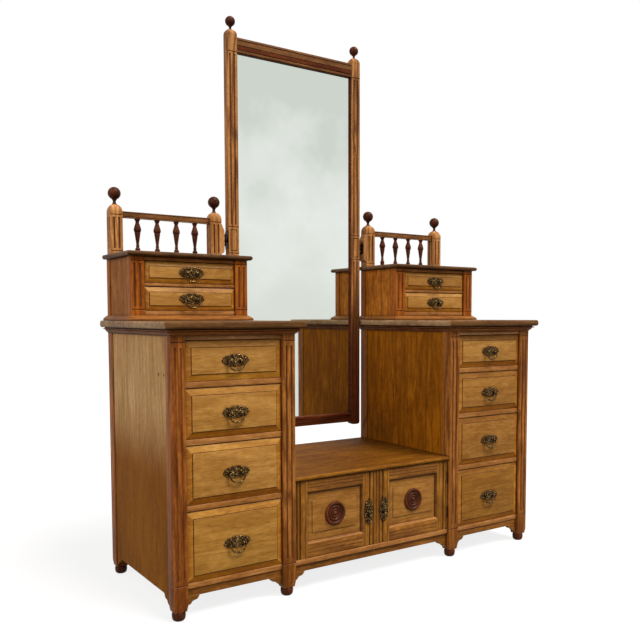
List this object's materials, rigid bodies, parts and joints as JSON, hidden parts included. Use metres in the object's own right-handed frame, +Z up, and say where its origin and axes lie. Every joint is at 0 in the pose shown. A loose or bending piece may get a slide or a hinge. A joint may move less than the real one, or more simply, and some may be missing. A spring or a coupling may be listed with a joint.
{
  "type": "dressing chest with mirror",
  "caption": "Dressing chest with drawer pedestals either side of a low cupboard, jewel drawers with spindle galleries, and a tall tilting mirror",
  "frame": {"origin": "centre of the floor rectangle the chest covers, on the floor", "axes": "+X to the viewer's right along the width, +Y from the front to the back, +Z up"},
  "size_m": [1.5, 0.574, 1.945],
  "materials": {
    "honey_ash": "waxed honey-coloured ash, satin",
    "frame_ash": "polished red-brown ash, satin",
    "top_ash": "worn brown ash, satin",
    "aged_brass": "cast brass, dark with age, bright on the high spots",
    "silvered_glass": "silvered plate glass",
    "backing_pine": "bare pine"
  },
  "bodies": {
    "chest": {"pedestal_carcass_left": "frame_ash", "pedestal_top_left": "top_ash", "jewel_box_left": "frame_ash", "jewel_box_top_left": "top_ash", "gallery_left": "frame_ash", "mirror_pivot_left": "aged_brass", "pedestal_carcass_right": "frame_ash", "pedestal_top_right": "top_ash", "jewel_box_right": "frame_ash", "jewel_box_top_right": "top_ash", "gallery_right": "frame_ash", "mirror_pivot_right": "aged_brass", "cupboard_carcass": "frame_ash", "cupboard_top": "top_ash"},
    "drawer_left_1_body": {"drawer_left_1": "honey_ash", "drawer_left_1_plate": "aged_brass"},
    "drawer_left_1_bail_body": {"drawer_left_1_bail": "aged_brass"},
    "drawer_left_2_body": {"drawer_left_2": "honey_ash", "drawer_left_2_plate": "aged_brass"},
    "drawer_left_2_bail_body": {"drawer_left_2_bail": "aged_brass"},
    "drawer_left_3_body": {"drawer_left_3": "honey_ash", "drawer_left_3_plate": "aged_brass"},
    "drawer_left_3_bail_body": {"drawer_left_3_bail": "aged_brass"},
    "drawer_left_4_body": {"drawer_left_4": "honey_ash", "drawer_left_4_plate": "aged_brass"},
    "drawer_left_4_bail_body": {"drawer_left_4_bail": "aged_brass"},
    "jewel_drawer_left_1_body": {"jewel_drawer_left_1": "honey_ash", "jewel_drawer_left_1_plate": "aged_brass"},
    "jewel_drawer_left_1_bail_body": {"jewel_drawer_left_1_bail": "aged_brass"},
    "jewel_drawer_left_2_body": {"jewel_drawer_left_2": "honey_ash", "jewel_drawer_left_2_plate": "aged_brass"},
    "jewel_drawer_left_2_bail_body": {"jewel_drawer_left_2_bail": "aged_brass"},
    "drawer_right_1_body": {"drawer_right_1": "honey_ash", "drawer_right_1_plate": "aged_brass"},
    "drawer_right_1_bail_body": {"drawer_right_1_bail": "aged_brass"},
    "drawer_right_2_body": {"drawer_right_2": "honey_ash", "drawer_right_2_plate": "aged_brass"},
    "drawer_right_2_bail_body": {"drawer_right_2_bail": "aged_brass"},
    "drawer_right_3_body": {"drawer_right_3": "honey_ash", "drawer_right_3_plate": "aged_brass"},
    "drawer_right_3_bail_body": {"drawer_right_3_bail": "aged_brass"},
    "drawer_right_4_body": {"drawer_right_4": "honey_ash", "drawer_right_4_plate": "aged_brass"},
    "drawer_right_4_bail_body": {"drawer_right_4_bail": "aged_brass"},
    "jewel_drawer_right_1_body": {"jewel_drawer_right_1": "honey_ash", "jewel_drawer_right_1_plate": "aged_brass"},
    "jewel_drawer_right_1_bail_body": {"jewel_drawer_right_1_bail": "aged_brass"},
    "jewel_drawer_right_2_body": {"jewel_drawer_right_2": "honey_ash", "jewel_drawer_right_2_plate": "aged_brass"},
    "jewel_drawer_right_2_bail_body": {"jewel_drawer_right_2_bail": "aged_brass"},
    "door_left_body": {"door_left": "frame_ash", "door_plate_left": "aged_brass"},
    "door_left_drop_body": {"door_drop_left": "aged_brass"},
    "door_right_body": {"door_right": "frame_ash", "door_plate_right": "aged_brass"},
    "door_right_drop_body": {"door_drop_right": "aged_brass"},
    "mirror_body": {"mirror_frame": "frame_ash", "mirror_glass": "silvered_glass", "mirror_back": "backing_pine"}
  },
  "joints": [
    {"name": "drawer_left_1_slide", "type": "slide", "parent": "chest", "child": "drawer_left_1_body", "axis": [0, -1, 0], "range_m": [0, 0.36]},
    {"name": "drawer_left_1_bail_hinge", "type": "hinge", "parent": "drawer_left_1_body", "child": "drawer_left_1_bail_body", "pos_m": [-0.523, -0.2678, 0.74448], "axis": [-1, 0, 0], "range_deg": [0, 85]},
    {"name": "drawer_left_2_slide", "type": "slide", "parent": "chest", "child": "drawer_left_2_body", "axis": [0, -1, 0], "range_m": [0, 0.36]},
    {"name": "drawer_left_2_bail_hinge", "type": "hinge", "parent": "drawer_left_2_body", "child": "drawer_left_2_bail_body", "pos_m": [-0.523, -0.2678, 0.59176], "axis": [-1, 0, 0], "range_deg": [0, 85]},
    {"name": "drawer_left_3_slide", "type": "slide", "parent": "chest", "child": "drawer_left_3_body", "axis": [0, -1, 0], "range_m": [0, 0.36]},
    {"name": "drawer_left_3_bail_hinge", "type": "hinge", "parent": "drawer_left_3_body", "child": "drawer_left_3_bail_body", "pos_m": [-0.523, -0.2678, 0.41324], "axis": [-1, 0, 0], "range_deg": [0, 85]},
    {"name": "drawer_left_4_slide", "type": "slide", "parent": "chest", "child": "drawer_left_4_body", "axis": [0, -1, 0], "range_m": [0, 0.36]},
    {"name": "drawer_left_4_bail_hinge", "type": "hinge", "parent": "drawer_left_4_body", "child": "drawer_left_4_bail_body", "pos_m": [-0.523, -0.2678, 0.20301], "axis": [-1, 0, 0], "range_deg": [0, 85]},
    {"name": "jewel_drawer_left_1_slide", "type": "slide", "parent": "chest", "child": "jewel_drawer_left_1_body", "axis": [0, -1, 0], "range_m": [0, 0.13]},
    {"name": "jewel_drawer_left_1_bail_hinge", "type": "hinge", "parent": "jewel_drawer_left_1_body", "child": "jewel_drawer_left_1_bail_body", "pos_m": [-0.523, 0.0422, 1.01315], "axis": [-1, 0, 0], "range_deg": [0, 85]},
    {"name": "jewel_drawer_left_2_slide", "type": "slide", "parent": "chest", "child": "jewel_drawer_left_2_body", "axis": [0, -1, 0], "range_m": [0, 0.13]},
    {"name": "jewel_drawer_left_2_bail_hinge", "type": "hinge", "parent": "jewel_drawer_left_2_body", "child": "jewel_drawer_left_2_bail_body", "pos_m": [-0.523, 0.0422, 0.9289], "axis": [-1, 0, 0], "range_deg": [0, 85]},
    {"name": "drawer_right_1_slide", "type": "slide", "parent": "chest", "child": "drawer_right_1_body", "axis": [0, -1, 0], "range_m": [0, 0.36]},
    {"name": "drawer_right_1_bail_hinge", "type": "hinge", "parent": "drawer_right_1_body", "child": "drawer_right_1_bail_body", "pos_m": [0.523, -0.2678, 0.74448], "axis": [-1, 0, 0], "range_deg": [0, 85]},
    {"name": "drawer_right_2_slide", "type": "slide", "parent": "chest", "child": "drawer_right_2_body", "axis": [0, -1, 0], "range_m": [0, 0.36]},
    {"name": "drawer_right_2_bail_hinge", "type": "hinge", "parent": "drawer_right_2_body", "child": "drawer_right_2_bail_body", "pos_m": [0.523, -0.2678, 0.59176], "axis": [-1, 0, 0], "range_deg": [0, 85]},
    {"name": "drawer_right_3_slide", "type": "slide", "parent": "chest", "child": "drawer_right_3_body", "axis": [0, -1, 0], "range_m": [0, 0.36]},
    {"name": "drawer_right_3_bail_hinge", "type": "hinge", "parent": "drawer_right_3_body", "child": "drawer_right_3_bail_body", "pos_m": [0.523, -0.2678, 0.41324], "axis": [-1, 0, 0], "range_deg": [0, 85]},
    {"name": "drawer_right_4_slide", "type": "slide", "parent": "chest", "child": "drawer_right_4_body", "axis": [0, -1, 0], "range_m": [0, 0.36]},
    {"name": "drawer_right_4_bail_hinge", "type": "hinge", "parent": "drawer_right_4_body", "child": "drawer_right_4_bail_body", "pos_m": [0.523, -0.2678, 0.20301], "axis": [-1, 0, 0], "range_deg": [0, 85]},
    {"name": "jewel_drawer_right_1_slide", "type": "slide", "parent": "chest", "child": "jewel_drawer_right_1_body", "axis": [0, -1, 0], "range_m": [0, 0.13]},
    {"name": "jewel_drawer_right_1_bail_hinge", "type": "hinge", "parent": "jewel_drawer_right_1_body", "child": "jewel_drawer_right_1_bail_body", "pos_m": [0.523, 0.0422, 1.01315], "axis": [-1, 0, 0], "range_deg": [0, 85]},
    {"name": "jewel_drawer_right_2_slide", "type": "slide", "parent": "chest", "child": "jewel_drawer_right_2_body", "axis": [0, -1, 0], "range_m": [0, 0.13]},
    {"name": "jewel_drawer_right_2_bail_hinge", "type": "hinge", "parent": "jewel_drawer_right_2_body", "child": "jewel_drawer_right_2_bail_body", "pos_m": [0.523, 0.0422, 0.9289], "axis": [-1, 0, 0], "range_deg": [0, 85]},
    {"name": "door_left_hinge", "type": "hinge", "parent": "chest", "child": "door_left_body", "pos_m": [-0.3195, -0.2515, 0.231], "axis": [0, 0, -1], "range_deg": [0, 90]},
    {"name": "door_left_drop_hinge", "type": "hinge", "parent": "door_left_body", "child": "door_left_drop_body", "pos_m": [-0.0305, -0.2608, 0.233], "axis": [-1, 0, 0], "range_deg": [0, 85]},
    {"name": "door_right_hinge", "type": "hinge", "parent": "chest", "child": "door_right_body", "pos_m": [0.3195, -0.2515, 0.231], "axis": [0, 0, 1], "range_deg": [0, 90]},
    {"name": "door_right_drop_hinge", "type": "hinge", "parent": "door_right_body", "child": "door_right_drop_body", "pos_m": [0.0305, -0.2608, 0.233], "axis": [-1, 0, 0], "range_deg": [0, 85]},
    {"name": "mirror_tilt", "type": "hinge", "parent": "chest", "child": "mirror_body", "pos_m": [0, 0.266, 1.15], "axis": [1, 0, 0], "range_deg": [-20, 20]}
  ]
}
